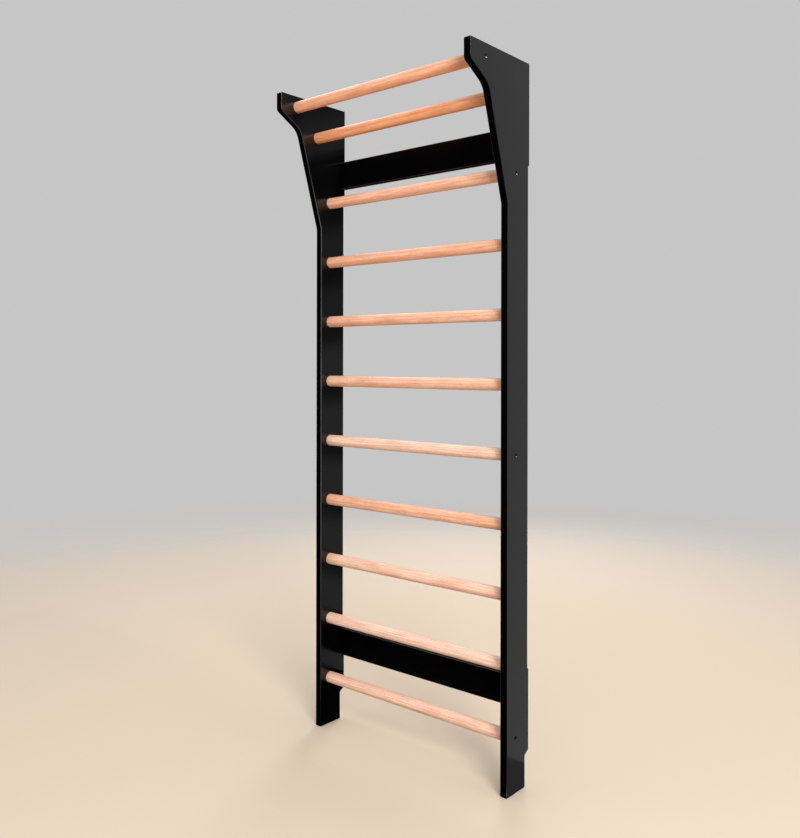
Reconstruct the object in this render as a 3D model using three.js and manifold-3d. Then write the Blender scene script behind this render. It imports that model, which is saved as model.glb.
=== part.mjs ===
// Swedish wall bars: two side panels with a flared head, eleven round rungs and two flat wall rails.
// Millimetres, +Z up. X runs along the rungs, +Y points to the wall and the climber stands at -Y.
// The origin lies on the floor, at the middle of the overall width and depth.
import * as THREE from "three";
import { mergeVertices } from "three/addons/utils/BufferGeometryUtils.js";
import Module from "manifold-3d";

const wasm = await Module();
wasm.setup();

// Overall sizes
const WIDTH = 800; // over the outer faces of the panels
const HEIGHT = 2182; // floor to the top edge of the panels
const COLUMN_DEPTH = 118; // wall to the straight front edge
const FLARE_REACH = 187; // straight front edge to the tip of the head

// Side panels
const BOARD = 24; // thickness
const PANEL_EASE = 2; // rounding of the long edges
const CORNER_RADIUS = 3; // rounding of the square corners of the outline
const FLARE_DROP = 437; // top edge down to where the front edge starts to lean
const LEAN = THREE.MathUtils.degToRad(16.7); // of the leaning front edge, from the vertical
const BREAK_RADIUS = 40; // where the straight edge turns into the leaning one
const THROAT_RADIUS = 60; // hollow under the head
const JAW_RISE = THREE.MathUtils.degToRad(30); // of the edge under the head, from the horizontal
const TIP_HEIGHT = 60; // top edge down to the corner under the tip
const TIP_RADIUS = 15; // of that corner
const RELIEF = 6; // the rear edge stands this far off the wall between its two pads
const RELIEF_RAMP = 5; // height of the slanted step at each pad
const PAD_OVERRUN = 24; // each pad runs this far past its rail
const SKIRTING_DEPTH = 20; // notch for the skirting board
const SKIRTING_HEIGHT = 95;
const SKIRTING_RAMP = 13; // height of the slanted roof of the notch

// Rails
const RAIL_HEIGHT = 95;
const RAIL_THICKNESS = 24;
const RAIL_EASE = 2;
const UPPER_RAIL_DROP = 189; // top edge of the panels down to the top of the upper rail
const LOWER_RAIL_RISE = 232; // floor up to the underside of the lower rail

// Rungs
const RUNG_DIAMETER = 38;
const RUNG_CHAMFER = 1;
const RUNG_PITCH = 209.5;
const LOWEST_RUNG = 164; // floor to the axis
const RUNG_SETBACK = 46; // straight front edge back to the axes
const SECOND_RUNG_DROP = 124; // top edge down to the axis
const SECOND_RUNG_REACH = 18; // straight front edge forward to the axis
const TOP_RUNG_DROP = 37;
const TOP_RUNG_REACH = 113;
const SOCKET_WEB = 10; // wood left between a socket and the outer face
const SCREWED_EVERY = 4; // every fourth rung is screwed, counted from the lowest

// Screws that draw the panels onto the rungs
const SCREW_LENGTH = 50;
const SHANK_DIAMETER = 4;
const TIP_LENGTH = 4;
const HEAD_DIAMETER = 7; // flat, over a cone of 90 degrees
const HEAD_RECESS = 2.6; // outer face down to the head
const SINK_GAP = 0.45; // beside a head in its countersink, which is 0.3 square to the cone
const HEX_WIDTH = 3; // across the flats
const HEX_DEPTH = 1.2;
const HEX_SIDES = 6;

// Dowels between rails and panels
const DOWEL_DIAMETER = 8;
const DOWEL_CHAMFER = 1;
const DOWEL_SPREAD = 56; // between the two in a rail end
const DOWEL_IN_RAIL = 20;
const DOWEL_WEB = 8; // wood left between a dowel and the outer face

// Fits and facets
const FIT = 0.3; // gap round and behind every seated piece
const OVERCUT = 1; // a cutter runs this far past the face it opens
const ROUND_SIDES = 28; // rungs and their sockets
const SMALL_SIDES = 16; // screws and dowels and their holes
const ARC_STEPS = 4;
const EASE_STEPS = 2;

// Worked-out places
const DEPTH = COLUMN_DEPTH + FLARE_REACH;
const INNER_FACE = WIDTH / 2 - BOARD;
const SOCKET_FLOOR = WIDTH / 2 - SOCKET_WEB;
const DOWEL_FLOOR = WIDTH / 2 - DOWEL_WEB;
const RAIL_END = INNER_FACE - FIT;
const HEAD_TOP = WIDTH / 2 - HEAD_RECESS;
const SCREW_TIP = HEAD_TOP - SCREW_LENGTH;
const UPPER_RAIL_TOP = HEIGHT - UPPER_RAIL_DROP;
const UPPER_RAIL_FOOT = UPPER_RAIL_TOP - RAIL_HEIGHT;
const LOWER_RAIL_TOP = LOWER_RAIL_RISE + RAIL_HEIGHT;
const WALL_Y = DEPTH / 2;
const FRONT_Y = WALL_Y - COLUMN_DEPTH;
const SECOND_RUNG_HEIGHT = HEIGHT - SECOND_RUNG_DROP;
const COLUMN_RUNGS = Math.round((SECOND_RUNG_HEIGHT - LOWEST_RUNG) / RUNG_PITCH);

const blackPaint = () => new THREE.MeshStandardMaterial({ color: 0x1d1d1d, roughness: 0.42, metalness: 0 });
const paleBeech = () => new THREE.MeshStandardMaterial({ color: 0xe8b48f, roughness: 0.55, metalness: 0 });
const blackSteel = () => new THREE.MeshStandardMaterial({ color: 0x404040, roughness: 0.45, metalness: 1 });

// A closed geometry as a solid that can be cut.
function solidOf(geometry) {
  const bare = geometry.clone();
  bare.deleteAttribute("normal");
  bare.deleteAttribute("uv");
  const merged = mergeVertices(bare);
  const vertProperties = merged.attributes.position.array;
  const triVerts = new Uint32Array(merged.index.array);
  return new wasm.Manifold(new wasm.Mesh({ numProp: 3, vertProperties, triVerts }));
}

// The geometry left when every cutter has been taken out of the body.
function cut(body, cutters) {
  const left = cutters.reduce((solid, cutter) => solid.subtract(solidOf(cutter)), solidOf(body));
  const { vertProperties, triVerts } = left.getMesh();
  const geometry = new THREE.BufferGeometry();
  geometry.setAttribute("position", new THREE.BufferAttribute(vertProperties, 3));
  geometry.setIndex(new THREE.BufferAttribute(triVerts, 1));
  geometry.computeVertexNormals();
  return geometry;
}

// A turned piece on an axis along X. The profile lists [x, radius] from one end of the axis to the other.
function turned(profile, sides) {
  const points = profile.map(([x, radius]) => new THREE.Vector2(radius, x));
  return new THREE.LatheGeometry(points, sides).rotateZ(-Math.PI / 2);
}

// A closed outline in the Y-Z plane through [y, z, radius] corners, each rounded by an arc of its radius.
function roundedOutline(corners) {
  const shape = new THREE.Shape();
  corners.forEach(([y, z, radius], i) => {
    const here = new THREE.Vector2(y, z);
    const back = new THREE.Vector2(...corners.at(i - 1)).sub(here).normalize();
    const on = new THREE.Vector2(...corners[(i + 1) % corners.length]).sub(here).normalize();
    const half = Math.acos(back.dot(on)) / 2;
    const start = here.clone().addScaledVector(back, radius / Math.tan(half));
    const end = here.clone().addScaledVector(on, radius / Math.tan(half));
    const inward = back.clone().add(on).normalize();
    const centre = here.clone().addScaledVector(inward, radius / Math.sin(half));
    const from = start.sub(centre).angle();
    const to = end.sub(centre).angle();
    shape.absarc(centre.x, centre.y, radius, from, to, back.cross(on) > 0);
  });
  return shape.closePath();
}

// A Y-Z outline drawn out along +X from x = 0, with its two faces eased by a rounded bevel.
function boardAlongX(outline, length, ease) {
  const geometry = new THREE.ExtrudeGeometry(outline, {
    depth: length - 2 * ease,
    bevelEnabled: ease > 0,
    bevelThickness: ease,
    bevelSize: ease,
    bevelOffset: -ease,
    bevelSegments: EASE_STEPS,
    curveSegments: ARC_STEPS,
  });
  const yAxis = new THREE.Vector3(0, 1, 0);
  const zAxis = new THREE.Vector3(0, 0, 1);
  const xAxis = new THREE.Vector3(1, 0, 0);
  geometry.translate(0, 0, ease);
  return geometry.applyMatrix4(new THREE.Matrix4().makeBasis(yAxis, zAxis, xAxis));
}

// Every rung from the top down: its axis in Y and Z, and whether screws hold it.
function rungPlaces() {
  const flared = [
    { y: FRONT_Y - TOP_RUNG_REACH, z: HEIGHT - TOP_RUNG_DROP, screwed: true },
    { y: FRONT_Y - SECOND_RUNG_REACH, z: SECOND_RUNG_HEIGHT, screwed: false },
  ];
  const column = Array.from({ length: COLUMN_RUNGS }, (_, i) => {
    const step = COLUMN_RUNGS - 1 - i;
    return {
      y: FRONT_Y + RUNG_SETBACK,
      z: LOWEST_RUNG + step * RUNG_PITCH,
      screwed: step % SCREWED_EVERY === 0,
    };
  });
  return [...flared, ...column];
}

// The two dowels in each rail end: the rail's name, which one, and its axis in Y and Z.
function dowelPlaces() {
  const rails = [
    { rail: "upper", foot: UPPER_RAIL_FOOT },
    { rail: "lower", foot: LOWER_RAIL_RISE },
  ];
  return rails.flatMap(({ rail, foot }) =>
    [1, -1].map((side) => ({
      name: `${rail}_rail_dowel_${side > 0 ? "top" : "bottom"}`,
      y: WALL_Y - RAIL_THICKNESS / 2,
      z: foot + RAIL_HEIGHT / 2 + (side * DOWEL_SPREAD) / 2,
    })),
  );
}

// The panel's outline: foot, straight front edge, lean, throat, head, rear pads and skirting notch.
function panelOutline() {
  const tipY = FRONT_Y - FLARE_REACH;
  const tipZ = HEIGHT - TIP_HEIGHT;
  const breakZ = HEIGHT - FLARE_DROP;
  const lean = Math.tan(LEAN);
  const rise = Math.tan(JAW_RISE);
  const throatZ = (tipZ + rise * (tipY - FRONT_Y) - rise * lean * breakZ) / (1 - rise * lean);
  const throatY = FRONT_Y - lean * (throatZ - breakZ);
  const reliefY = WALL_Y - RELIEF;
  const upperPadFoot = UPPER_RAIL_FOOT - PAD_OVERRUN;
  const lowerPadTop = LOWER_RAIL_TOP + PAD_OVERRUN;
  const skirtingY = WALL_Y - SKIRTING_DEPTH;
  return roundedOutline([
    [skirtingY, 0, CORNER_RADIUS],
    [FRONT_Y, 0, CORNER_RADIUS],
    [FRONT_Y, breakZ, BREAK_RADIUS],
    [throatY, throatZ, THROAT_RADIUS],
    [tipY, tipZ, TIP_RADIUS],
    [tipY, HEIGHT, CORNER_RADIUS],
    [WALL_Y, HEIGHT, CORNER_RADIUS],
    [WALL_Y, upperPadFoot, CORNER_RADIUS],
    [reliefY, upperPadFoot - RELIEF_RAMP, CORNER_RADIUS],
    [reliefY, lowerPadTop + RELIEF_RAMP, CORNER_RADIUS],
    [WALL_Y, lowerPadTop, CORNER_RADIUS],
    [WALL_Y, SKIRTING_HEIGHT + SKIRTING_RAMP, CORNER_RADIUS],
    [skirtingY, SKIRTING_HEIGHT, CORNER_RADIUS],
  ]);
}

// A right-hand panel with its blind rung sockets, countersunk screw holes and dowel holes.
function panel() {
  const board = boardAlongX(panelOutline(), BOARD, PANEL_EASE).translate(INNER_FACE, 0, 0);
  const socketRadius = RUNG_DIAMETER / 2 + FIT;
  const sinkRadius = HEAD_DIAMETER / 2 + SINK_GAP;
  const shankRadius = SHANK_DIAMETER / 2 + FIT;
  const outside = WIDTH / 2 + OVERCUT;
  const sockets = rungPlaces().map(({ y, z }) =>
    turned(
      [
        [INNER_FACE - OVERCUT, 0],
        [INNER_FACE - OVERCUT, socketRadius],
        [SOCKET_FLOOR, socketRadius],
        [SOCKET_FLOOR, 0],
      ],
      ROUND_SIDES,
    ).translate(0, y, z),
  );
  const screwHoles = rungPlaces()
    .filter(({ screwed }) => screwed)
    .map(({ y, z }) =>
      turned(
        [
          [SOCKET_FLOOR - OVERCUT, 0],
          [SOCKET_FLOOR - OVERCUT, shankRadius],
          [HEAD_TOP + shankRadius - sinkRadius, shankRadius],
          [outside, sinkRadius + outside - HEAD_TOP],
          [outside, 0],
        ],
        SMALL_SIDES,
      ).translate(0, y, z),
    );
  const dowelHoles = dowelPlaces().map(({ y, z }) => dowelHole(INNER_FACE - OVERCUT, DOWEL_FLOOR, y, z));
  return cut(board, [...sockets, ...screwHoles, ...dowelHoles]);
}

// A cutter for one end of a dowel.
function dowelHole(fromX, toX, y, z) {
  const radius = DOWEL_DIAMETER / 2 + FIT;
  const profile = [
    [fromX, 0],
    [fromX, radius],
    [toX, radius],
    [toX, 0],
  ];
  return turned(profile, SMALL_SIDES).translate(0, y, z);
}

// A dowel of the right-hand side, from the bottom of its hole in the rail to that in the panel.
function dowel({ y, z }) {
  const radius = DOWEL_DIAMETER / 2;
  const fromX = RAIL_END - DOWEL_IN_RAIL + FIT;
  const toX = DOWEL_FLOOR - FIT;
  const profile = [
    [fromX, 0],
    [fromX, radius - DOWEL_CHAMFER],
    [fromX + DOWEL_CHAMFER, radius],
    [toX - DOWEL_CHAMFER, radius],
    [toX, radius - DOWEL_CHAMFER],
    [toX, 0],
  ];
  return turned(profile, SMALL_SIDES).translate(0, y, z);
}

// A screw of the right-hand side: a plain shank and a countersunk head with a hexagon socket.
function screw({ y, z }) {
  const shankRadius = SHANK_DIAMETER / 2;
  const headRadius = HEAD_DIAMETER / 2;
  const body = turned(
    [
      [SCREW_TIP, 0],
      [SCREW_TIP + TIP_LENGTH, shankRadius],
      [HEAD_TOP + shankRadius - headRadius, shankRadius],
      [HEAD_TOP, headRadius],
      [HEAD_TOP, 0],
    ],
    SMALL_SIDES,
  );
  const hexRadius = HEX_WIDTH / Math.sqrt(3);
  const hexagon = turned(
    [
      [HEAD_TOP - HEX_DEPTH, 0],
      [HEAD_TOP - HEX_DEPTH, hexRadius],
      [HEAD_TOP + OVERCUT, hexRadius],
      [HEAD_TOP + OVERCUT, 0],
    ],
    HEX_SIDES,
  );
  return cut(body, [hexagon]).translate(0, y, z);
}

// A rung that stops just short of its socket floors. A screwed one is drilled at both ends.
function rung({ y, z, screwed }) {
  const radius = RUNG_DIAMETER / 2;
  const endX = SOCKET_FLOOR - FIT;
  const drillX = SCREW_TIP - FIT;
  const drillRadius = SHANK_DIAMETER / 2 + FIT;
  const centre = [[endX, 0]];
  const drilled = [
    [drillX, 0],
    [drillX, drillRadius],
    [endX, drillRadius],
  ];
  const half = [
    [endX - RUNG_CHAMFER, radius],
    [endX, radius - RUNG_CHAMFER],
    ...(screwed ? drilled.toReversed() : centre),
  ];
  const mirrored = half.map(([x, r]) => [-x, r]).toReversed();
  return turned([...mirrored, ...half], ROUND_SIDES).translate(0, y, z);
}

// A rail between the panels, flush with the wall, with two dowel holes in each end.
function rail(name, foot) {
  const front = WALL_Y - RAIL_THICKNESS;
  const top = foot + RAIL_HEIGHT;
  const outline = roundedOutline([
    [front, foot, RAIL_EASE],
    [front, top, RAIL_EASE],
    [WALL_Y, top, RAIL_EASE],
    [WALL_Y, foot, RAIL_EASE],
  ]);
  const board = boardAlongX(outline, 2 * RAIL_END, 0).translate(-RAIL_END, 0, 0);
  const holes = dowelPlaces()
    .filter((place) => place.name.startsWith(name))
    .flatMap(({ y, z }) => [
      dowelHole(RAIL_END - DOWEL_IN_RAIL, RAIL_END + OVERCUT, y, z),
      dowelHole(-RAIL_END - OVERCUT, DOWEL_IN_RAIL - RAIL_END, y, z),
    ]);
  return cut(board, holes);
}

const rungName = (i) => `rung_${String(i + 1).padStart(2, "0")}`;

function piece(name, geometry, material) {
  const mesh = new THREE.Mesh(geometry, material);
  mesh.name = name;
  return mesh;
}

// One side of the bars: its panel, screws and dowels. The left side is the mirror image of the right.
function sideGroup(side, mirror) {
  const group = new THREE.Group();
  group.add(piece(`${side}_side_panel`, panel(), blackPaint()));
  rungPlaces().forEach((place, i) => {
    if (place.screwed) group.add(piece(`${side}_screw_${rungName(i)}`, screw(place), blackSteel()));
  });
  dowelPlaces().forEach((place) => {
    group.add(piece(`${side}_${place.name}`, dowel(place), paleBeech()));
  });
  group.scale.x = mirror;
  return group;
}

const wallBars = new THREE.Group();
wallBars.name = "swedish_wall_bars";
wallBars.add(sideGroup("left", -1), sideGroup("right", 1));
wallBars.add(piece("upper_rail", rail("upper_rail", UPPER_RAIL_FOOT), blackPaint()));
wallBars.add(piece("lower_rail", rail("lower_rail", LOWER_RAIL_RISE), blackPaint()));
rungPlaces().forEach((place, i) => wallBars.add(piece(rungName(i), rung(place), paleBeech())));

export default wallBars;
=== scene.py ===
"""Swedish wall bars: the finished panels, rails, rungs and screws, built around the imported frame."""

from functools import partial
from math import pi, radians
from typing import NamedTuple

import bmesh
import bpy
import numpy as np
from bpy.props import FloatProperty, FloatVectorProperty, IntProperty, PointerProperty
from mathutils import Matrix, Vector
from mathutils.geometry import delaunay_2d_cdt


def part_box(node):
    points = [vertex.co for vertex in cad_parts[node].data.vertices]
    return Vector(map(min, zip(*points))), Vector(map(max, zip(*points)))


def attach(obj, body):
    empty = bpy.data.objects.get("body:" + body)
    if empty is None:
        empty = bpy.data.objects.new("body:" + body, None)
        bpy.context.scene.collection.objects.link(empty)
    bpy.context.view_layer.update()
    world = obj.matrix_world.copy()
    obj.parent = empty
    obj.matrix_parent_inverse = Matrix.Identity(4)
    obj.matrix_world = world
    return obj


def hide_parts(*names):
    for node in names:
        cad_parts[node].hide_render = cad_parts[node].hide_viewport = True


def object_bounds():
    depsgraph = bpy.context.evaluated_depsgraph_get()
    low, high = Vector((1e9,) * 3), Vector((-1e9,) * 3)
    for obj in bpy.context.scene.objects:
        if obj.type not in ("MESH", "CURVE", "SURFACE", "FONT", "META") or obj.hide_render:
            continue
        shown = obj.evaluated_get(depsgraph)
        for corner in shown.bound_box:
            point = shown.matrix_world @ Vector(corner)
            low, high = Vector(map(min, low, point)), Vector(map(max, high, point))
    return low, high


bl_info = {
    "name": "Swedish wall bars",
    "version": (1, 0, 0),
    "blender": (4, 5, 0),
    "location": "View3D > Sidebar > Wall bars",
    "description": "Builds finished wall bars around the packed frame",
    "category": "Add Mesh",
}

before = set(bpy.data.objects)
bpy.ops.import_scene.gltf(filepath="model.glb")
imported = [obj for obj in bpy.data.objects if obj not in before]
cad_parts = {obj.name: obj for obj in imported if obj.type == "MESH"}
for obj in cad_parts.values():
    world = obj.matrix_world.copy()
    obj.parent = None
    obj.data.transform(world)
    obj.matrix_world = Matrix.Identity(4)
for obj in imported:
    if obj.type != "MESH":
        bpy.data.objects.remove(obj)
CAD_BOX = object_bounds()

MM = 0.001
MERGE_DISTANCE = 0.001 * MM
PANELS = {"left_side_panel": -1.0, "right_side_panel": 1.0}
RAILS = ("upper_rail", "lower_rail")
RUNGS = sorted(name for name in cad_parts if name.startswith("rung_"))
SCREWS = sorted(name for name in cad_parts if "_screw_" in name)
DOWELS = sorted(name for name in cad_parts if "_dowel_" in name)
SCREWED = sorted({name.split("_screw_")[1] for name in SCREWS})

# Sockets of the Mix node when it mixes colours
FACTOR, COLOUR_A, COLOUR_B, MIXED = 0, 6, 7, 2

# Settings of the triangulation: only what lies inside the loops, and the distance at which points are one
INSIDE_LOOPS, SAME_POINT = 1, 1e-9


def linear(code):
    """Linear red, green and blue of an sRGB hex code such as '#E8B48F'."""
    channels = np.array([int(code[i : i + 2], 16) for i in (1, 3, 5)]) / 255
    return tuple(np.where(channels <= 0.04045, channels / 12.92, ((channels + 0.055) / 1.055) ** 2.4))


def length(name, description, millimetres):
    """A length property in metres with a default given in millimetres."""
    return FloatProperty(
        name=name, description=description, default=millimetres * MM, min=0.0, unit="LENGTH"
    )


def angle(name, description, degrees):
    """An angle property in radians with a default given in degrees."""
    return FloatProperty(name=name, description=description, default=radians(degrees), unit="ROTATION")


def highlight_share(name, description, default):
    """A share of the full painted edge highlight, from 0 to 1."""
    return FloatProperty(
        name=name, description=description, default=default, min=0.0, max=1.0, subtype="FACTOR"
    )


def count(name, description, default):
    """A whole number of facets."""
    return IntProperty(name=name, description=description, default=default, min=1)


def colour(name, description, code):
    """A colour property with a default given as an sRGB hex code."""
    return FloatVectorProperty(
        name=name, description=description, default=linear(code), subtype="COLOR", min=0.0, max=1.0
    )


class WALLBARS_PG_sizes(bpy.types.PropertyGroup):
    """Sizes of the outline, the holes and the screws that the frame's boxes don't give."""

    column_depth: length("Column depth", "Wall to the straight front edge", 118)
    flare_drop: length("Flare drop", "Top edge down to where the front edge starts to lean", 437)
    lean: angle("Lean", "Lean of the front edge from the vertical", 16.7)
    break_radius: length("Break radius", "Where the straight front edge turns into the leaning one", 40)
    throat_radius: length("Throat radius", "Hollow under the head", 60)
    jaw_rise: angle("Jaw rise", "Rise of the edge under the head from the horizontal", 30)
    tip_height: length("Tip height", "Top edge down to the corner under the tip", 60)
    tip_radius: length("Tip radius", "Rounding of the corner under the tip", 15)
    corner_radius: length("Corner radius", "Rounding of the square corners of the outline", 3)
    relief: length("Relief", "Gap to the wall behind the rear edge, between its pads", 6)
    relief_ramp: length("Relief ramp", "Height of the slanted step at each pad", 5)
    pad_overrun: length("Pad overrun", "How far each wall pad runs past its rail", 24)
    skirting_depth: length("Skirting depth", "Depth of the notch for the skirting board", 20)
    skirting_height: length("Skirting height", "Height of the straight part of that notch", 95)
    skirting_ramp: length("Skirting ramp", "Height of the slanted roof of that notch", 13)
    panel_ease: length("Panel ease", "Rounding of the panels' long edges", 2)
    rail_ease: length("Rail ease", "Rounding of the rails' long edges", 2)
    rung_chamfer: length("Rung chamfer", "Chamfer on the ends of a rung", 1)
    socket_web: length("Socket web", "Wood left between a rung socket and the outer face", 10)
    fit: length("Fit", "Gap round a seated piece", 0.3)
    sink_gap: length("Sink gap", "Gap round a screw's head in its countersink", 0.45)
    hex_width: length("Hexagon width", "Across the flats of a screw's socket", 3)
    hex_depth: length("Hexagon depth", "Depth of a screw's socket", 1.2)
    shank: length("Shank", "Diameter of a screw's shank", 4)
    screw_tip: length("Screw tip", "Length of a screw's point", 4)
    # Painted highlight on the panels' arrises: lighter paint standing in for light that the eased edges
    # catch. It fades towards the foot, is weaker on the outer arris and the head, and comes back at the
    # outer sole.
    highlight_fade_height: length("Wear height", "Height below which the wear of a panel's edge fades", 1000)
    sole_height: length("Sole height", "Height up to which the outer edge of a foot is scuffed", 45)
    sole_highlight: highlight_share("Sole wear", "Wear of the outer edge of a foot at the floor", 0.7)
    outer_highlight: highlight_share("Outer wear", "Wear of a panel's outer edge, as a share of the inner one's", 0.1)
    head_highlight: highlight_share("Head wear", "Wear of a head's edge, as a share of the edge below", 0.4)
    run_step: length("Run step", "Longest facet along the straight runs of a panel's edge", 15)
    arc_steps: count("Arc steps", "Facets of each rounded corner of the outline", 16)
    ease_steps: count("Ease steps", "Facets of each eased edge", 6)
    round_sides: count("Round sides", "Facets round a rung, a hole or a screw", 96)


class WALLBARS_PG_finishes(bpy.types.PropertyGroup):
    """Colours of the finishes and the stage."""

    paint: colour("Paint", "Satin black paint", "#010101")
    paint_cloud: colour("Paint cloud", "Slightly lighter cloud in the paint", "#030303")
    # Painted highlight: lighter paint on the eased edges, standing in for the light they catch.
    paint_edge_highlight: colour("Rubbed paint", "Paint on an edge that hands and cloths rub", "#606060")
    wood_warm: colour("Warm wood", "Warmest rung", "#E6A77C")
    wood_pale: colour("Pale wood", "Palest rung", "#EFD6C7")
    wood_patch: colour("Wood patches", "Multiplies the wood's colour in its darker patches", "#F6EBE4")
    wood_late: colour("Late wood", "Multiplies the wood's colour in its dark growth layers", "#F4E6DC")
    wood_fibre: colour("Wood fibre", "Multiplies the wood's colour in its fibres", "#F0DFD4")
    wood_ray: colour("Wood rays", "Multiplies the wood's colour in its short dark rays", "#E0C6B5")
    steel: colour("Steel", "Blackened steel of the screws", "#1E1E1E")
    floor: colour("Floor", "Pale studio floor", "#C6B6A3")
    # The cards glow in these colours and show only in reflections: painted reflections of a bright wall and
    # floor, darker in the grey, head and foot cards and black in the black card, as painted shade.
    pale_card: colour("Pale card", "Card that the outer faces mirror", "#B9B9B9")
    grey_card: colour("Grey card", "Card that the inner faces mirror", "#959595")
    head_card: colour("Head card", "Card that the inner faces mirror at the head", "#787878")
    foot_card: colour("Foot card", "Card that the outer faces mirror at the foot", "#7D7D7D")
    black_card: colour("Black card", "Card that the edges and rails mirror", "#000000")
    surround: colour("Surround", "Soft light all round", "#C6C6C6")
    rung_tones: FloatVectorProperty(
        name="Rung tones",
        description="Tone of each rung from the top one down, from 0 for the warmest to 1 for the palest",
        size=11,
        default=(0.22, 0.0, 0.46, 0.36, 0.5, 0.55, 0.91, 0.43, 0.8, 1.0, 0.83),
        min=0.0,
        max=1.0,
    )


class WALLBARS_PG_stage(bpy.types.PropertyGroup):
    """Sizes of the floor and of the cards that reflections see."""

    floor_width: length("Floor width", "Side of the square floor", 16000)
    card_reach: length("Card reach", "Middle of the bars to the far ends of the cards beside them", 2500)
    card_top: length("Card top", "Height of the upright cards", 3000)
    card_lift: length("Card lift", "Gap between a card and the wall or the floor", 0.5)
    card_gap: length("Card gap", "Gap between a card and the bars, in front of them and beside them", 50)
    foot_card_height: length("Foot card height", "Height of the cards that the feet mirror", 62)
    rail_card_drop: length("Rail card drop", "Axis of the second rung down to the card behind the rail", 30)
    level_card_drop: length("Level card drop", "Axis of the second rung down to the level card", 80)
    level_card_gap: length("Level card gap", "Straight front edge to the level card in front of it", 72)


class Block(NamedTuple):
    """A surface of a piece: its vertices, its faces, and how strongly each vertex carries the painted edge
    highlight, or None.
    """

    vertices: np.ndarray
    faces: np.ndarray
    edge_highlight: np.ndarray | None = None


def unit(vectors):
    """The vectors along the last axis, each divided by its length."""
    return vectors / np.linalg.norm(vectors, axis=-1, keepdims=True)


def rounded_outline(corners, steps):
    """Points and outward normals of a clockwise outline whose corners are rounded.

    corners holds rows of u, v and radius. An arc's centre lies on the corner's bisector at
    radius / sin(half the corner's angle), and the arc runs from the foot of the centre on the
    incoming edge to its foot on the outgoing one: centre + radius (cos a, sin a).
    """
    here, radius = corners[:, :2], corners[:, 2:]
    back = unit(np.roll(here, 1, axis=0) - here)
    on = unit(np.roll(here, -1, axis=0) - here)
    half = np.arccos((back * on).sum(axis=1, keepdims=True)) / 2
    centre = here + unit(back + on) * radius / np.sin(half)
    foot = here + back * radius / np.tan(half) - centre
    convex = back[:, :1] * on[:, 1:] > back[:, 1:] * on[:, :1]
    turn = np.where(convex, -1.0, 1.0)
    start = np.arctan2(foot[:, 1:], foot[:, :1])
    angles = start + turn * (pi - 2 * half) * np.linspace(0, 1, steps + 1)
    ring = np.stack([np.cos(angles), np.sin(angles)], axis=-1)
    points = centre[:, None] + radius[:, None] * ring
    normals = -turn[:, None] * ring
    return points.reshape(-1, 2), normals.reshape(-1, 2)


def eased_edge(low, high, ease, steps):
    """Depth, inset and painted highlight of each row of a board's edge, from its low face to its high one.

    A quarter round at angle a has inset ease (1 - cos a), depth ease (1 - sin a) from its face,
    and a painted highlight sin 2a, which is strongest halfway round.
    """
    a = np.linspace(0, pi / 2, steps + 1)
    inset = ease * (1 - np.cos(a))
    depth = ease * (1 - np.sin(a))
    edge_highlight = np.sin(2 * a)
    depths = np.concatenate([(low + depth)[::-1], high - depth])
    return depths, np.concatenate([inset[::-1], inset]), np.concatenate([edge_highlight[::-1], edge_highlight])


def grid_faces(rows, columns):
    """Quads of a grid whose columns close on themselves: (i, j), (i, j+1), (i+1, j+1), (i+1, j)."""
    i, j = np.meshgrid(np.arange(rows - 1), np.arange(columns), indexing="ij")
    k = (j + 1) % columns
    corners = [i * columns + j, i * columns + k, (i + 1) * columns + k, (i + 1) * columns + j]
    return np.stack(corners, axis=-1).reshape(-1, 4)


def finer_outline(outline, normals, longest):
    """A closed outline and its normals, with every run cut into equal parts of no more than a length.

    Part k of the n parts of a run starts at the share k / n of the way from the run's start to its end.
    """
    start = np.column_stack([outline, normals])
    way = np.roll(start, -1, axis=0) - start
    parts = np.ceil(np.linalg.norm(way[:, :2], axis=1) / longest).astype(int)
    run = np.repeat(np.arange(len(outline)), parts)
    share = (np.arange(len(run)) - (np.cumsum(parts) - parts)[run]) / parts[run]
    finer = start[run] + share[:, None] * way[run]
    return finer[:, :2], finer[:, 2:]


def board_edge(outline, normals, depths, insets):
    """The edge of a board drawn along X: row i is the outline moved in by insets[i], at depths[i]."""
    flat = outline[None] - insets[:, None, None] * normals[None]
    depth = np.broadcast_to(depths[:, None, None], flat.shape[:2] + (1,))
    return np.concatenate([depth, flat], axis=-1)


def turned(rows, centre, sides):
    """A surface of revolution about X: the rows (x, radius) spun round a centre (y, z).

    A radius may be an array with one value for each side, for a ring that isn't round.
    """
    a = np.linspace(0, 2 * pi, sides, endpoint=False)
    radius = np.array([np.broadcast_to(row[1], a.shape) for row in rows])
    x = np.array([np.broadcast_to(row[0], a.shape) for row in rows])
    return np.stack([x, centre[0] + radius * np.cos(a), centre[1] + radius * np.sin(a)], axis=-1)


def grid_block(grid, edge_highlight=None):
    """A block from a grid of points whose columns close on themselves."""
    return Block(grid.reshape(-1, 3), grid_faces(*grid.shape[:2]), edge_highlight)


def inside(points, starts, ends):
    """Whether points lie inside closed loops: a ray to the right crosses an odd number of edges."""
    level = points[:, None, 1]
    spans = (starts[None, :, 1] > level) != (ends[None, :, 1] > level)
    rise = np.where(spans, ends[None, :, 1] - starts[None, :, 1], 1.0)
    share = (level - starts[None, :, 1]) / rise
    crossing = starts[None, :, 0] + share * (ends[None, :, 0] - starts[None, :, 0])
    return (spans & (points[:, None, 0] < crossing)).sum(axis=1) % 2 == 1


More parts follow.
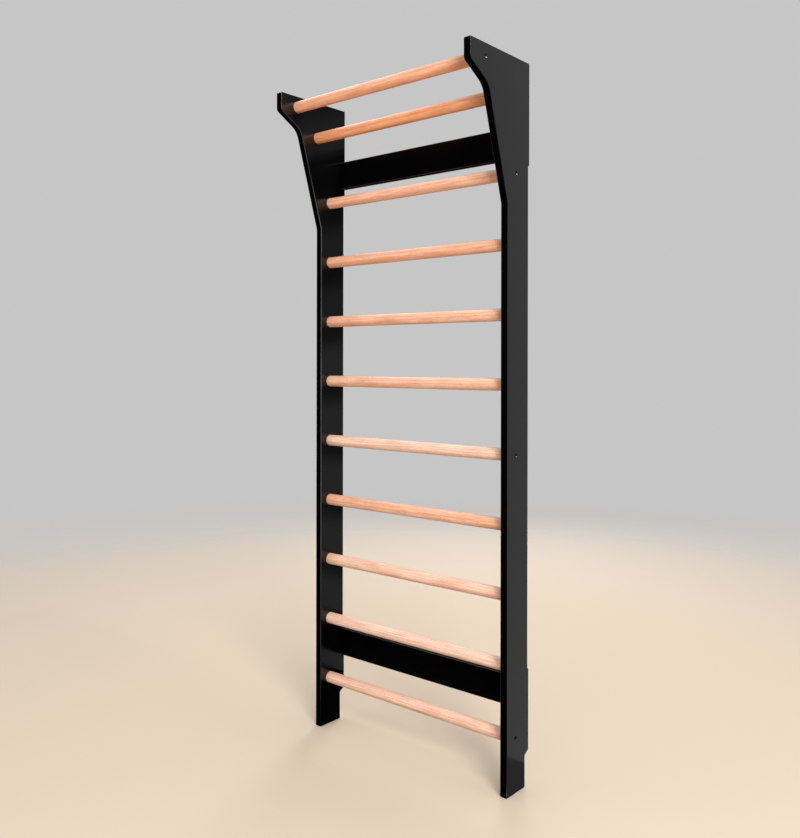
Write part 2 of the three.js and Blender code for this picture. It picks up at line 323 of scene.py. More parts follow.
def flat_face(depth, outer_loop, holes):
    """A flat face at one depth, inside the outer loop and outside the loops of its holes.

    It keeps those triangles of a constrained Delaunay triangulation whose middles lie inside.
    """
    loops = [outer_loop, *holes]
    firsts = np.cumsum([0] + [len(loop) for loop in loops])
    steps = [first + np.arange(len(loop)) for first, loop in zip(firsts, loops)]
    edges = np.concatenate([np.stack([step, np.roll(step, -1)], axis=1) for step in steps])
    points = np.concatenate(loops)
    corners = [Vector(point) for point in points.tolist()]
    found, _, triangles, *_ = delaunay_2d_cdt(
        corners, edges.tolist(), [], INSIDE_LOOPS, SAME_POINT, False
    )
    found, triangles = np.array(found), np.array(triangles)
    kept = inside(found[triangles].mean(axis=1), points[edges[:, 0]], points[edges[:, 1]])
    return Block(np.column_stack([np.full(len(found), depth), found]), triangles[kept])


def make_piece(name, blocks, material, sharp_degrees):
    """One closed mesh object from its blocks, riding on the frame.

    Meeting edges of the blocks are merged, the faces are turned outwards, and edges that turn by
    more than the sharp angle stay sharp. The painted edge highlight is kept on the vertices.
    """
    firsts = np.cumsum([0] + [len(block.vertices) for block in blocks])
    faces = [face for first, block in zip(firsts, blocks) for face in (block.faces + first).tolist()]
    edge_highlight = [np.zeros(len(block.vertices)) if block.edge_highlight is None else block.edge_highlight for block in blocks]
    mesh = bpy.data.meshes.new(name)
    mesh.from_pydata(np.concatenate([block.vertices for block in blocks]).tolist(), [], faces)
    # The painted edge highlight, kept on the vertices for the paint.
    mesh.attributes.new("edge_highlight", "FLOAT", "POINT").data.foreach_set("value", np.concatenate(edge_highlight))
    work = bmesh.new()
    work.from_mesh(mesh)
    bmesh.ops.remove_doubles(work, verts=work.verts, dist=MERGE_DISTANCE)
    bmesh.ops.recalc_face_normals(work, faces=work.faces)
    work.to_mesh(mesh)
    work.free()
    mesh.polygons.foreach_set("use_smooth", np.ones(len(mesh.polygons), bool))
    mesh.set_sharp_from_angle(angle=radians(sharp_degrees))
    mesh.materials.append(material)
    piece = bpy.data.objects.new(name, mesh)
    bpy.context.scene.collection.objects.link(piece)
    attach(piece, "root")
    return piece


def flatten_shading(piece):
    """Lets the large flat faces set the normals at their eased edges."""
    weighted = piece.modifiers.new("flat faces", "WEIGHTED_NORMAL")
    weighted.mode = "FACE_AREA"
    weighted.keep_sharp = True


def axis_of(node):
    """Y and Z of the middle of a node's box."""
    low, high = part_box(node)
    return (low.y + high.y) / 2, (low.z + high.z) / 2


def radius_of(node):
    """Half the height of a round node's box."""
    low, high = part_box(node)
    return (high.z - low.z) / 2


def reach_of(node):
    """The distances from the middle plane X = 0 to a node's near and far ends."""
    low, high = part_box(node)
    return sorted((abs(low.x), abs(high.x)))


def add_node(tree, kind, inputs=None, **settings):
    """Adds a node, sets its settings, and links or fills the inputs given by name or index."""
    node = tree.nodes.new(kind)
    for name, value in settings.items():
        setattr(node, name, value)
    for name, value in (inputs or {}).items():
        if isinstance(value, bpy.types.NodeSocket):
            tree.links.new(value, node.inputs[name])
        else:
            node.inputs[name].default_value = value
    return node


def sizes_of(*millimetres):
    """Scale of a Texture mapping for a pattern whose features have these sizes along X, Y and Z."""
    return tuple(size * MM for size in millimetres)


def satin_black_paint(tree, place, finish):
    """Satin paint, sprayed on sanded plywood.

    It is near black, with a faint cloud and a soft mirror, a little orange peel, and lighter paint on the
    eased edges: a painted highlight for the light they catch.
    """
    cloud_place = add_node(
        tree,
        "ShaderNodeMapping",
        {"Vector": place, "Scale": sizes_of(90, 90, 260)},
        vector_type="TEXTURE",
    )
    cloud = add_node(
        tree, "ShaderNodeTexNoise", {"Vector": cloud_place.outputs[0], "Scale": 1.0, "Detail": 4.0}
    )
    coat = add_node(
        tree,
        "ShaderNodeMix",
        {FACTOR: cloud.outputs["Fac"], COLOUR_A: (*finish.paint, 1), COLOUR_B: (*finish.paint_cloud, 1)},
        data_type="RGBA",
    )
    # Painted highlight: lighter paint on the eased edges, uneven with the cloud.
    edge_highlight = add_node(tree, "ShaderNodeAttribute", attribute_name="edge_highlight")
    uneven = add_node(
        tree,
        "ShaderNodeMapRange",
        {"Value": cloud.outputs["Fac"], "From Min": 0.3, "From Max": 0.7, "To Min": 0.5},
    )
    edge_lit = add_node(
        tree,
        "ShaderNodeMath",
        {0: edge_highlight.outputs["Fac"], 1: uneven.outputs["Result"]},
        operation="MULTIPLY",
    )
    edge_highlighted = add_node(
        tree,
        "ShaderNodeMix",
        {
            FACTOR: edge_lit.outputs["Value"],
            COLOUR_A: coat.outputs[MIXED],
            COLOUR_B: (*finish.paint_edge_highlight, 1),
        },
        data_type="RGBA",
    )
    gloss = add_node(
        tree, "ShaderNodeMapRange", {"Value": cloud.outputs["Fac"], "To Min": 0.18, "To Max": 0.25}
    )
    peel_place = add_node(
        tree,
        "ShaderNodeMapping",
        {"Vector": place, "Scale": sizes_of(2.5, 2.5, 2.5)},
        vector_type="TEXTURE",
    )
    peel = add_node(
        tree, "ShaderNodeTexNoise", {"Vector": peel_place.outputs[0], "Scale": 1.0, "Detail": 2.0}
    )
    bump = add_node(
        tree, "ShaderNodeBump", {"Height": peel.outputs["Fac"], "Strength": 0.2, "Distance": 0.03 * MM}
    )
    shader = add_node(
        tree,
        "ShaderNodeBsdfPrincipled",
        {
            "Base Color": edge_highlighted.outputs[MIXED],
            "Roughness": gloss.outputs["Result"],
            "Normal": bump.outputs["Normal"],
            "IOR": 1.5,
        },
    )
    return shader.outputs["BSDF"]


def oiled_beech(tree, place, finish):
    """Beech, turned, sanded and oiled.

    It is a pale pink-brown with growth layers, lengthwise fibres, short dark rays and a soft sheen. Each
    rung has a tone of its own, kept on its mesh and fitted to its colour as it looks, so that the upper
    rungs come out warmer and the lower ones paler. The layers and fibres are drawn wider than real ones,
    so that they show.
    """
    tone = add_node(tree, "ShaderNodeAttribute", attribute_name="tone")
    plank = add_node(
        tree,
        "ShaderNodeMix",
        {FACTOR: tone.outputs["Fac"], COLOUR_A: (*finish.wood_warm, 1), COLOUR_B: (*finish.wood_pale, 1)},
        data_type="RGBA",
    )
    patch_place = add_node(
        tree, "ShaderNodeMapping", {"Vector": place, "Scale": sizes_of(110, 22, 22)}, vector_type="TEXTURE"
    )
    patch = add_node(
        tree, "ShaderNodeTexNoise", {"Vector": patch_place.outputs[0], "Scale": 1.0, "Detail": 2.0}
    )
    patches = add_node(
        tree, "ShaderNodeMapRange", {"Value": patch.outputs["Fac"], "From Min": 0.35, "From Max": 0.65}
    )
    patched = add_node(
        tree,
        "ShaderNodeMix",
        {
            FACTOR: patches.outputs["Result"],
            COLOUR_A: plank.outputs[MIXED],
            COLOUR_B: (*finish.wood_patch, 1),
        },
        data_type="RGBA",
        blend_type="MULTIPLY",
    )
    layer_place = add_node(
        tree,
        "ShaderNodeMapping",
        {"Vector": place, "Rotation": (radians(-55), 0, radians(0.4)), "Scale": sizes_of(260, 40, 20)},
        vector_type="TEXTURE",
    )
    layer = add_node(
        tree,
        "ShaderNodeTexWave",
        {
            "Vector": layer_place.outputs[0],
            "Scale": 1.0,
            "Distortion": 5.0,
            "Detail": 3.0,
            "Detail Scale": 1.0,
        },
        bands_direction="Z",
    )
    fibre_place = add_node(
        tree, "ShaderNodeMapping", {"Vector": place, "Scale": sizes_of(60, 2, 2)}, vector_type="TEXTURE"
    )
    fibre = add_node(
        tree, "ShaderNodeTexNoise", {"Vector": fibre_place.outputs[0], "Scale": 1.0, "Detail": 4.0}
    )
    ray_place = add_node(
        tree, "ShaderNodeMapping", {"Vector": place, "Scale": sizes_of(9, 1, 1)}, vector_type="TEXTURE"
    )
    ray = add_node(
        tree, "ShaderNodeTexNoise", {"Vector": ray_place.outputs[0], "Scale": 1.0, "Detail": 1.0}
    )
    layers = add_node(
        tree,
        "ShaderNodeMix",
        {FACTOR: layer.outputs["Fac"], COLOUR_A: patched.outputs[MIXED], COLOUR_B: (*finish.wood_late, 1)},
        data_type="RGBA",
        blend_type="MULTIPLY",
    )
    fibres = add_node(
        tree, "ShaderNodeMapRange", {"Value": fibre.outputs["Fac"], "From Min": 0.38, "From Max": 0.68}
    )
    grain = add_node(
        tree,
        "ShaderNodeMix",
        {
            FACTOR: fibres.outputs["Result"],
            COLOUR_A: layers.outputs[MIXED],
            COLOUR_B: (*finish.wood_fibre, 1),
        },
        data_type="RGBA",
        blend_type="MULTIPLY",
    )
    rays = add_node(
        tree, "ShaderNodeMapRange", {"Value": ray.outputs["Fac"], "From Min": 0.6, "From Max": 0.72}
    )
    flecked = add_node(
        tree,
        "ShaderNodeMix",
        {FACTOR: rays.outputs["Result"], COLOUR_A: grain.outputs[MIXED], COLOUR_B: (*finish.wood_ray, 1)},
        data_type="RGBA",
        blend_type="MULTIPLY",
    )
    gloss = add_node(
        tree, "ShaderNodeMapRange", {"Value": fibre.outputs["Fac"], "To Min": 0.42, "To Max": 0.58}
    )
    bump = add_node(
        tree, "ShaderNodeBump", {"Height": fibre.outputs["Fac"], "Strength": 0.3, "Distance": 0.05 * MM}
    )
    shader = add_node(
        tree,
        "ShaderNodeBsdfPrincipled",
        {
            "Base Color": flecked.outputs[MIXED],
            "Roughness": gloss.outputs["Result"],
            "Normal": bump.outputs["Normal"],
            "IOR": 1.48,
        },
    )
    return shader.outputs["BSDF"]


def blackened_steel(tree, place, finish):
    """Turned steel, blackened in hot oxide salts: a dark grey metal with a fine haze."""
    haze_place = add_node(
        tree,
        "ShaderNodeMapping",
        {"Vector": place, "Scale": sizes_of(0.6, 0.6, 0.6)},
        vector_type="TEXTURE",
    )
    haze = add_node(
        tree, "ShaderNodeTexNoise", {"Vector": haze_place.outputs[0], "Scale": 1.0, "Detail": 3.0}
    )
    gloss = add_node(
        tree, "ShaderNodeMapRange", {"Value": haze.outputs["Fac"], "To Min": 0.25, "To Max": 0.45}
    )
    shader = add_node(
        tree,
        "ShaderNodeBsdfPrincipled",
        {"Base Color": (*finish.steel, 1), "Metallic": 1.0, "Roughness": gloss.outputs["Result"]},
    )
    return shader.outputs["BSDF"]


def studio_floor(tree, place, finish):
    """Matt painted floor with a hardly visible mottle. It fades into the surround far from the bars."""
    mottle_place = add_node(
        tree,
        "ShaderNodeMapping",
        {"Vector": place, "Scale": sizes_of(500, 500, 500)},
        vector_type="TEXTURE",
    )
    mottle = add_node(tree, "ShaderNodeTexNoise", {"Vector": mottle_place.outputs[0], "Scale": 1.0})
    gloss = add_node(
        tree, "ShaderNodeMapRange", {"Value": mottle.outputs["Fac"], "To Min": 0.85, "To Max": 0.95}
    )
    paint = add_node(
        tree,
        "ShaderNodeBsdfPrincipled",
        {"Base Color": (*finish.floor, 1), "Roughness": gloss.outputs["Result"], "Specular IOR Level": 0.2},
    )
    distance = add_node(tree, "ShaderNodeVectorMath", {0: place}, operation="LENGTH")
    fade = add_node(
        tree,
        "ShaderNodeMapRange",
        {"Value": distance.outputs["Value"], "From Min": 1.2, "From Max": 6.0},
        interpolation_type="SMOOTHERSTEP",
    )
    clear = add_node(tree, "ShaderNodeBsdfTransparent")
    faded = add_node(
        tree,
        "ShaderNodeMixShader",
        {0: fade.outputs["Result"], 1: paint.outputs["BSDF"], 2: clear.outputs["BSDF"]},
    )
    return faded.outputs["Shader"]


def glowing_card(tree, place, finish, shade):
    """Card that glows evenly in one shade, seen only in reflections: a painted reflection that the paint
    mirrors softly.
    """
    return add_node(tree, "ShaderNodeEmission", {"Color": (*getattr(finish, shade), 1)}).outputs["Emission"]


def bay_card(tree, place, finish, shade):
    """Glowing card behind the rungs, darker below each of them: painted shade that stands in for a wall
    with light from above.

    t runs from 0 at a rung's axis to 1 at the next one up, and the card darkens over the upper half.
    """
    low, high = (axis_of(name)[1] for name in ("rung_11", "rung_10"))
    height = add_node(tree, "ShaderNodeSeparateXYZ", {0: place})
    bays = add_node(
        tree,
        "ShaderNodeMapRange",
        {"Value": height.outputs["Z"], "From Min": low, "From Max": high},
        clamp=False,
    )
    t = add_node(tree, "ShaderNodeMath", {0: bays.outputs["Result"]}, operation="FRACT")
    # Painted shade: the card's glow falls to 0.3 of full over the upper half of each bay, under each rung.
    painted_brightness = add_node(
        tree,
        "ShaderNodeMapRange",
        {"Value": t.outputs["Value"], "From Min": 0.42, "From Max": 0.82, "To Min": 1.0, "To Max": 0.3},
        interpolation_type="SMOOTHSTEP",
    )
    card = add_node(
        tree,
        "ShaderNodeEmission",
        {"Color": (*getattr(finish, shade), 1), "Strength": painted_brightness.outputs["Result"]},
    )
    return card.outputs["Emission"]


FINISHES = {
    "black_paint": ("satin black paint on plywood", satin_black_paint),
    "rung_wood": ("clear oiled beech", oiled_beech),
    "screw_steel": ("blackened steel", blackened_steel),
    "dowel_wood": ("clear oiled beech", oiled_beech),
    "floor": ("matt studio floor", studio_floor),
    # The cards glow and show only in reflections: painted reflections, with painted shade in the darker and
    # black ones.
    "pale_card": ("pale card", partial(glowing_card, shade="pale_card")),
    "grey_card": ("grey card", partial(bay_card, shade="grey_card")),
    "head_card": ("dark grey card", partial(bay_card, shade="head_card")),
    "foot_card": ("mid grey card", partial(glowing_card, shade="foot_card")),
    "black_card": ("black card", partial(glowing_card, shade="black_card")),
}


def finish_of(context, slot):
    """The material of a slot, made the first time it is asked for."""
    name, surface_of = FINISHES[slot]
    material = bpy.data.materials.get(name)
    if material is None:
        material = bpy.data.materials.new(name)
        material.use_nodes = True
        tree = material.node_tree
        tree.nodes.clear()
        place = add_node(tree, "ShaderNodeTexCoord").outputs["Object"]
        surface = surface_of(tree, place, context.scene.wall_bars_finishes)
        add_node(tree, "ShaderNodeOutputMaterial", {"Surface": surface})
    return material


def panel_outline(sizes):
    """The panel's outline in Y and Z: foot, front edge, lean, throat, head, rear pads and skirting notch.

    The throat is where the leaning front edge meets the rising edge under the head.
    """
    low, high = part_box("right_side_panel")
    wall, tip, top = high.y, low.y, high.z
    front = wall - sizes.column_depth
    lean, rise = np.tan(sizes.lean), np.tan(sizes.jaw_rise)
    break_z = top - sizes.flare_drop
    tip_z = top - sizes.tip_height
    throat_z = (tip_z + rise * (tip - front) - rise * lean * break_z) / (1 - rise * lean)
    throat = front - lean * (throat_z - break_z)
    relief = wall - sizes.relief
    upper_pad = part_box("upper_rail")[0].z - sizes.pad_overrun
    lower_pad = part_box("lower_rail")[1].z + sizes.pad_overrun
    notch = wall - sizes.skirting_depth
    corner = sizes.corner_radius
    corners = [
        (notch, 0.0, corner),
        (front, 0.0, corner),
        (front, break_z, sizes.break_radius),
        (throat, throat_z, sizes.throat_radius),
        (tip, tip_z, sizes.tip_radius),
        (tip, top, corner),
        (wall, top, corner),
        (wall, upper_pad, corner),
        (relief, upper_pad - sizes.relief_ramp, corner),
        (relief, lower_pad + sizes.relief_ramp, corner),
        (wall, lower_pad, corner),
        (wall, sizes.skirting_height + sizes.skirting_ramp, corner),
        (notch, sizes.skirting_height, corner),
    ]
    return rounded_outline(np.array(corners), sizes.arc_steps)


class WALLBARS_OT_side_panels(bpy.types.Operator):
    """Make both side panels, with rung sockets inside and countersunk screw holes outside"""

    bl_idname = "wall_bars.side_panels"
    bl_label = "Side panels"

    def execute(self, context):
        sizes = context.scene.wall_bars_sizes
        paint = finish_of(context, "black_paint")
        blocks = self.right_panel(sizes)
        for name, mirror in PANELS.items():
            placed = [block._replace(vertices=block.vertices * (mirror, 1, 1)) for block in blocks]
            piece = make_piece(f"{name}_painted", placed, paint, sharp_degrees=40)
            flatten_shading(piece)
            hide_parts(name)
        return {"FINISHED"}

    def right_panel(self, sizes):
        """Blocks of the right-hand panel: its eased edge, its two faces and the walls of its holes."""
        inner, outer = reach_of("right_side_panel")
        outline, normals = finer_outline(*panel_outline(sizes), sizes.run_step)
        depths, insets, edge_highlight = eased_edge(inner, outer, sizes.panel_ease, sizes.ease_steps)
        edge = board_edge(outline, normals, depths, insets)
        # Painted highlight on the eased edge, as a share at each of its points.
        edge_lit = edge_highlight[:, None] * self.edge_highlighting(sizes, edge, (inner + outer) / 2)
        holes = self.holes(sizes, inner, outer)
        walls = [turned(rows, centre, sizes.round_sides) for rows, centre in holes]
        inner_loops = [wall[0, :, 1:] for wall in walls]
        outer_loops = [wall[-1, :, 1:] for wall in walls if np.isclose(wall[-1, 0, 0], outer)]
        return [
            grid_block(edge, edge_lit.ravel()),
            flat_face(inner, edge[0, :, 1:], inner_loops),
            flat_face(outer, edge[-1, :, 1:], outer_loops),
            *(grid_block(wall) for wall in walls),
        ]

    def edge_highlighting(self, sizes, edge, middle):
        """How strongly the points of a panel's edge carry the painted highlight, from 0 to 1.

        The inner arris gets it in full, and the outer one, past the middle, by a smaller share. That
        fades evenly towards the foot, and along the lean to the head's smaller share. The outer arris
        gets it again at the sole, evenly less up to the sole height.
        """
        outside, height = edge[..., 0] > middle, edge[..., 2]
        lean_start = CAD_BOX[1].z - sizes.flare_drop
        lean_middle = lean_start + sizes.flare_drop / 2
        side = np.where(outside, sizes.outer_highlight, 1.0)
        foot = np.clip(height / sizes.highlight_fade_height, 0, 1)
        head = np.interp(height, (lean_start, lean_middle), (1.0, sizes.head_highlight))
        sole_lit = outside * sizes.sole_highlight * np.clip(1 - height / sizes.sole_height, 0, 1)
        return np.maximum(side * foot * head, sole_lit)

    def holes(self, sizes, inner, outer):
        """Rows (x, radius) and centre of each hole, from the inner face outwards.

        A rung's socket is blind, unless its rung is screwed: then the screw's hole goes on to the outer
        face, through a countersink whose radius grows as fast as x. A dowel's hole is blind.
        """
        socket = radius_of(RUNGS[0]) + sizes.fit
        floor = outer - sizes.socket_web
        head_top = reach_of(SCREWS[-1])[1]
        sink = radius_of(SCREWS[-1]) + sizes.sink_gap
        shank = sizes.shank / 2 + sizes.fit
        mouth = [(inner, socket), (floor, socket)]
        blind = [(floor, 0.0)]
        through = [(floor, shank), (head_top + shank - sink, shank), (outer, sink + outer - head_top)]
        rungs = [(mouth + (through if name in SCREWED else blind), axis_of(name)) for name in RUNGS]
        right_dowels = [name for name in DOWELS if name.startswith("right")]
        return rungs + [(self.dowel_hole(sizes, name, inner), axis_of(name)) for name in right_dowels]

    def dowel_hole(self, sizes, name, inner):
        """Rows of a dowel's hole in the panel."""
        radius = radius_of(name) + sizes.fit
        floor = reach_of(name)[1] + sizes.fit
        return [(inner, radius), (floor, radius), (floor, 0.0)]


class WALLBARS_OT_rails(bpy.types.Operator):
    """Make the two flat wall rails, with dowel holes in their ends"""

    bl_idname = "wall_bars.rails"
    bl_label = "Rails"

    def execute(self, context):
        sizes = context.scene.wall_bars_sizes
        paint = finish_of(context, "black_paint")
        for name in RAILS:
            blocks = self.rail(sizes, name)
            piece = make_piece(f"{name}_painted", blocks, paint, sharp_degrees=40)
            flatten_shading(piece)
            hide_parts(name)
        return {"FINISHED"}

    def rail(self, sizes, name):
        """Blocks of a rail: its outline drawn along X, its two ends and the walls of their dowel holes.

        The outline's corner arcs are the eased edges, with a painted highlight sin(pi t) along each arc.
        """
        low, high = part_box(name)
        corners = [(high.y, low.z), (low.y, low.z), (low.y, high.z), (high.y, high.z)]
        corners = np.array([(*corner, sizes.rail_ease) for corner in corners])
        outline, normals = rounded_outline(corners, sizes.ease_steps)
        ends = np.array([low.x, high.x])
        edge = board_edge(outline, normals, ends, np.zeros(2))
        # Painted highlight along each eased arc, strongest halfway round.
        arc_highlight = np.sin(pi * np.linspace(0, 1, sizes.ease_steps + 1))
        blocks = [grid_block(edge, np.tile(arc_highlight, len(ends) * len(corners)))]
        for end, side in zip(ends, ("left", "right")):
            dowels = [dowel for dowel in DOWELS if dowel.startswith(f"{side}_{name}")]
            walls = [self.dowel_hole(sizes, dowel, end) for dowel in dowels]
            blocks.append(flat_face(end, outline, [wall[0, :, 1:] for wall in walls]))
            blocks += [grid_block(wall) for wall in walls]
        return blocks

    def dowel_hole(self, sizes, dowel, end):
        """The wall and floor of a dowel's hole in a rail's end."""
        radius = radius_of(dowel) + sizes.fit
        floor = np.sign(end) * (reach_of(dowel)[0] - sizes.fit)
        return turned([(end, radius), (floor, radius), (floor, 0.0)], axis_of(dowel), sizes.round_sides)


class WALLBARS_OT_rungs(bpy.types.Operator):
    """Make the round rungs, drilled at the ends where screws hold them"""

    bl_idname = "wall_bars.rungs"
    bl_label = "Rungs"

    def execute(self, context):
        sizes = context.scene.wall_bars_sizes
        wood = finish_of(context, "rung_wood")
        for name, tone in zip(RUNGS, context.scene.wall_bars_finishes.rung_tones, strict=True):
            block = grid_block(turned(self.rows(sizes, name), axis_of(name), sizes.round_sides))
            piece = make_piece(f"{name}_turned", [block], wood, sharp_degrees=40)
            values = piece.data.attributes.new("tone", "FLOAT", "POINT").data
            values.foreach_set("value", np.full(len(values), tone, np.float32))
            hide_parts(name)
        return {"FINISHED"}

    def rows(self, sizes, name):
        """Rows (x, radius) of a rung from its left end to its right one, which are mirror images."""
        radius = radius_of(name)
        end = reach_of(name)[1]
        cut = sizes.rung_chamfer
        half = [(end - cut, radius), (end, radius - cut)]
        if name in SCREWED:
            drill = sizes.shank / 2 + sizes.fit
            floor = reach_of(f"right_screw_{name}")[0] - sizes.fit
            half += [(end, drill), (floor, drill), (floor, 0.0)]
        else:
            half.append((end, 0.0))
        return [(-x, r) for x, r in reversed(half)] + half


class WALLBARS_OT_screws(bpy.types.Operator):
    """Make the countersunk screws with a hexagon socket in the head"""

    bl_idname = "wall_bars.screws"
    bl_label = "Screws"

    def execute(self, context):
        sizes = context.scene.wall_bars_sizes
        steel = finish_of(context, "screw_steel")
        for name in SCREWS:
            mirror = 1.0 if name.startswith("right") else -1.0
            rows = [(mirror * x, radius) for x, radius in self.rows(sizes, name)]
            block = grid_block(turned(rows, axis_of(name), sizes.round_sides))
            piece = make_piece(f"{name}_blackened", [block], steel, sharp_degrees=30)
            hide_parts(name)
        return {"FINISHED"}

    def rows(self, sizes, name):
        """Rows (x, radius) from the floor of the socket over the flat head and its cone to the tip.

        The socket's ring has radius width / 2 / cos(angle to the middle of its flat).
        """
        tip, top = reach_of(name)
        edge = radius_of(name)
        shank = sizes.shank / 2
        a = np.linspace(0, 2 * pi, sizes.round_sides, endpoint=False)
        hexagon = sizes.hex_width / 2 / np.cos(a % (pi / 3) - pi / 6)
        return [
            (top - sizes.hex_depth, 0.0),
            (top - sizes.hex_depth, hexagon),
            (top, hexagon),
            (top, edge),
            (top + shank - edge, shank),
            (tip + sizes.screw_tip, shank),
            (tip, 0.0),
        ]


class WALLBARS_OT_dowels(bpy.types.Operator):
    """Give the hidden rail dowels their wood"""

    bl_idname = "wall_bars.dowels"
    bl_label = "Dowels"

    def execute(self, context):
        wood = finish_of(context, "dowel_wood")
        for name in DOWELS:
            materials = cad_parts[name].data.materials
            materials.clear()
            materials.append(wood)
        return {"FINISHED"}


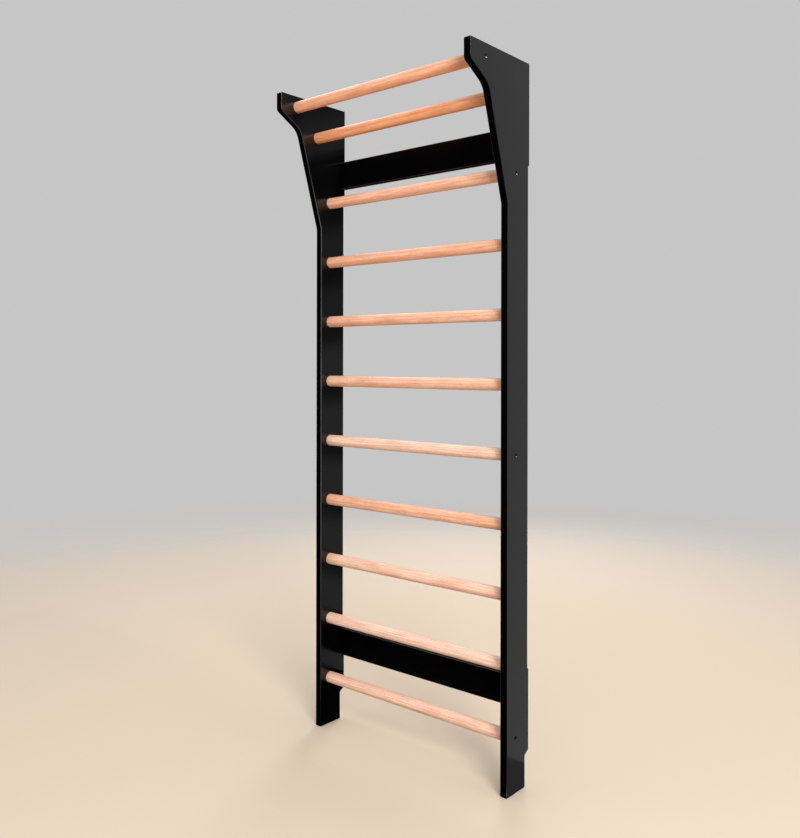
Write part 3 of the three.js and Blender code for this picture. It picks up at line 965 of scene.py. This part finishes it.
class WALLBARS_OT_stage(bpy.types.Operator):
    """Make the floor, the soft light and the camera at the photograph's viewing angle"""

    bl_idname = "wall_bars.stage"
    bl_label = "Stage"

    def execute(self, context):
        self.floor(context)
        self.light(context)
        self.cards(context)
        self.camera(context)
        return {"FINISHED"}

    def sheet(self, context, name, corners, finish):
        """A flat sheet of the stage between four corners."""
        mesh = bpy.data.meshes.new(name)
        mesh.from_pydata(corners, [], [(0, 1, 2, 3)])
        mesh.materials.append(finish_of(context, finish))
        sheet = bpy.data.objects.new(name, mesh)
        context.scene.collection.objects.link(sheet)
        return sheet

    def floor(self, context):
        """A square of plain pale floor."""
        half = context.scene.wall_bars_stage.floor_width / 2
        corners = [(-half, -half, 0), (half, -half, 0), (half, half, 0), (-half, half, 0)]
        self.sheet(context, "studio_floor", corners, "floor")

    def light(self, context):
        """A pale surround that is brighter overhead, a broad soft key light, a fill behind, and two glints.

        The top box and the rim box only show in gloss: one in the countersinks, one along the rungs' tops.
        """
        scene = context.scene
        world = bpy.data.worlds.new("pale surround")
        world.use_nodes = True
        tree = world.node_tree
        direction = add_node(tree, "ShaderNodeTexCoord").outputs["Generated"]
        axes = add_node(tree, "ShaderNodeSeparateXYZ", {0: direction})
        overhead = add_node(
            tree,
            "ShaderNodeMapRange",
            {"Value": axes.outputs["Z"], "From Min": 0.35, "From Max": 1.0, "To Min": 1.0, "To Max": 2.2},
            interpolation_type="SMOOTHSTEP",
        )
        background = tree.nodes["Background"]
        background.inputs["Color"].default_value = (*scene.wall_bars_finishes.surround, 1)
        tree.links.new(overhead.outputs["Result"], background.inputs["Strength"])
        scene.world = world
        key = self.soft_box(
            context, "key_box", size=(2.1, 2.1), watts=345, place=(4.05, -2.55, 2.7), target=(0, 0, 3.2)
        )
        key.visible_glossy = False
        fill = self.soft_box(
            context, "fill_box", size=(2.1, 2.1), watts=150, place=(-2.4, 4.4, 2.4), target=(0, 0, 3)
        )
        fill.visible_glossy = False
        top = self.soft_box(
            context, "top_box", size=(1.4, 2.2), watts=150, place=(1.8, 0.1, 3.6), target=(0.4, 0.1, 1.4)
        )
        top.visible_diffuse = False
        rim = self.soft_box(
            context, "rim_box", size=(1.6, 1.6), watts=60, place=(-2, 0.7, 3.4), target=(0, 0.05, 1.2)
        )
        rim.visible_diffuse = False

    def soft_box(self, context, name, size, watts, place, target):
        """An oval soft light of a width and height that the camera doesn't see, turned to a target."""
        data = bpy.data.lights.new(name, "AREA")
        data.shape = "ELLIPSE"
        data.size, data.size_y = size
        data.energy = watts
        box = bpy.data.objects.new(name, data)
        box.location = place
        box.rotation_euler = (Vector(target) - Vector(place)).to_track_quat("-Z", "Y").to_euler()
        box.visible_camera = False
        context.scene.collection.objects.link(box)
        return box

    def cards(self, context):
        """Cards round the bars that only reflections see, each given by its ranges of X, Y and Z.

        They glow in their finish's colour: painted reflections of a bright wall and floor, with painted
        shade where they are darker or black.
        """
        stage = context.scene.wall_bars_stage
        inner, outer = reach_of("right_side_panel")
        far, top, lift, foot = stage.card_reach, stage.card_top, stage.card_lift, stage.foot_card_height
        front, back = CAD_BOX[0].y - stage.card_gap, CAD_BOX[1].y - lift
        beside = outer + stage.card_gap
        level_end = CAD_BOX[1].y - context.scene.wall_bars_sizes.column_depth - stage.level_card_gap
        second, third, fifth, lowest = (axis_of(RUNGS[place])[1] for place in (1, 2, 4, -1))
        rail, level = second - stage.rail_card_drop, second - stage.level_card_drop
        left, between, right = (-far, -outer), (-inner, inner), (outer, far)
        cards = (
            # Painted reflections of a bright wall beside the bars, darker at the foot as painted shade, and
            # of the floor at the right.
            ("pale_card_left", "pale_card", left, (back, back), (foot, top)),
            ("pale_card_right", "pale_card", right, (back, back), (foot, top)),
            ("foot_card_left", "foot_card", left, (back, back), (0, foot)),
            ("foot_card_right", "foot_card", right, (back, back), (0, foot)),
            ("floor_card_right", "foot_card", right, (front, back), (lift, lift)),
            # Painted reflections of the wall between the panels: darker at the head as painted shade, and
            # with painted shade under each rung.
            ("head_card_top", "head_card", between, (back, back), (rail, top)),
            # Painted shadow of the upper rail on the wall behind it.
            ("black_card_rail", "black_card", between, (back, back), (third, rail)),
            ("head_card_middle", "head_card", between, (back, back), (fifth, third)),
            ("grey_card_middle", "grey_card", between, (back, back), (lowest, fifth)),
            # Painted shade behind the feet, under the lowest rung.
            ("black_card_middle", "black_card", between, (back, back), (0, lowest)),
            # Black sheets seen only in reflections: painted dark reflections that keep the floor under the
            # bars, the front edges, the rails and the heads' undersides black.
            ("black_card_floor", "black_card", (-far, outer), (front, back), (lift, lift)),
            ("black_card_front", "black_card", (-far, beside), (front, front), (0, top)),
            ("black_card_beside", "black_card", (beside, far), (front, front), (0, second)),
            ("black_card_under", "black_card", (-far, beside), (front, level_end), (level, level)),
        )
        for name, finish, (x0, x1), (y0, y1), (z0, z1) in cards:
            corners = [(x0, y0, z0), (x1, y0, z0), (x1, y1, z1), (x0, y1, z1)]
            card = self.sheet(context, name, corners, finish)
            card.visible_camera = False
            card.visible_diffuse = False
            card.visible_shadow = False
            card.visible_transmission = False

    def camera(self, context):
        """A level camera to the front right, shifted so that the uprights stay vertical."""
        scene = context.scene
        data = bpy.data.cameras.new("camera")
        data.sensor_width = 36.0
        data.lens = 37.27
        data.shift_y = -0.067
        camera = bpy.data.objects.new("camera", data)
        camera.location = (1.8063, -2.1001, 1.2762)
        camera.rotation_euler = (pi / 2, radians(-0.1), radians(40.44))
        scene.collection.objects.link(camera)
        scene.camera = camera
        scene.view_settings.view_transform = "Standard"


class WALLBARS_PT_sidebar(bpy.types.Panel):
    """Lists the steps that build the wall bars, and the values they read"""

    bl_idname = "WALLBARS_PT_sidebar"
    bl_label = "Wall bars"
    bl_space_type = "VIEW_3D"
    bl_region_type = "UI"
    bl_category = "Wall bars"

    def draw(self, context):
        for step in STEPS:
            self.layout.operator(step.bl_idname)
        for group_name, group in GROUPS.items():
            for name in group.__annotations__:
                self.layout.prop(getattr(context.scene, group_name), name)


STEPS = (
    WALLBARS_OT_side_panels,
    WALLBARS_OT_rails,
    WALLBARS_OT_rungs,
    WALLBARS_OT_screws,
    WALLBARS_OT_dowels,
    WALLBARS_OT_stage,
)
GROUPS = {
    "wall_bars_sizes": WALLBARS_PG_sizes,
    "wall_bars_finishes": WALLBARS_PG_finishes,
    "wall_bars_stage": WALLBARS_PG_stage,
}
CLASSES = (*GROUPS.values(), *STEPS, WALLBARS_PT_sidebar)


def register():
    for cls in CLASSES:
        bpy.utils.register_class(cls)
    for name, group in GROUPS.items():
        setattr(bpy.types.Scene, name, PointerProperty(type=group))


def unregister():
    for name in GROUPS:
        delattr(bpy.types.Scene, name)
    for cls in reversed(CLASSES):
        bpy.utils.unregister_class(cls)


def main():
    """Builds every piece and the stage."""
    register()
    bpy.ops.wall_bars.side_panels()
    bpy.ops.wall_bars.rails()
    bpy.ops.wall_bars.rungs()
    bpy.ops.wall_bars.screws()
    bpy.ops.wall_bars.dowels()
    bpy.ops.wall_bars.stage()


if __name__ == "__main__":
    main()
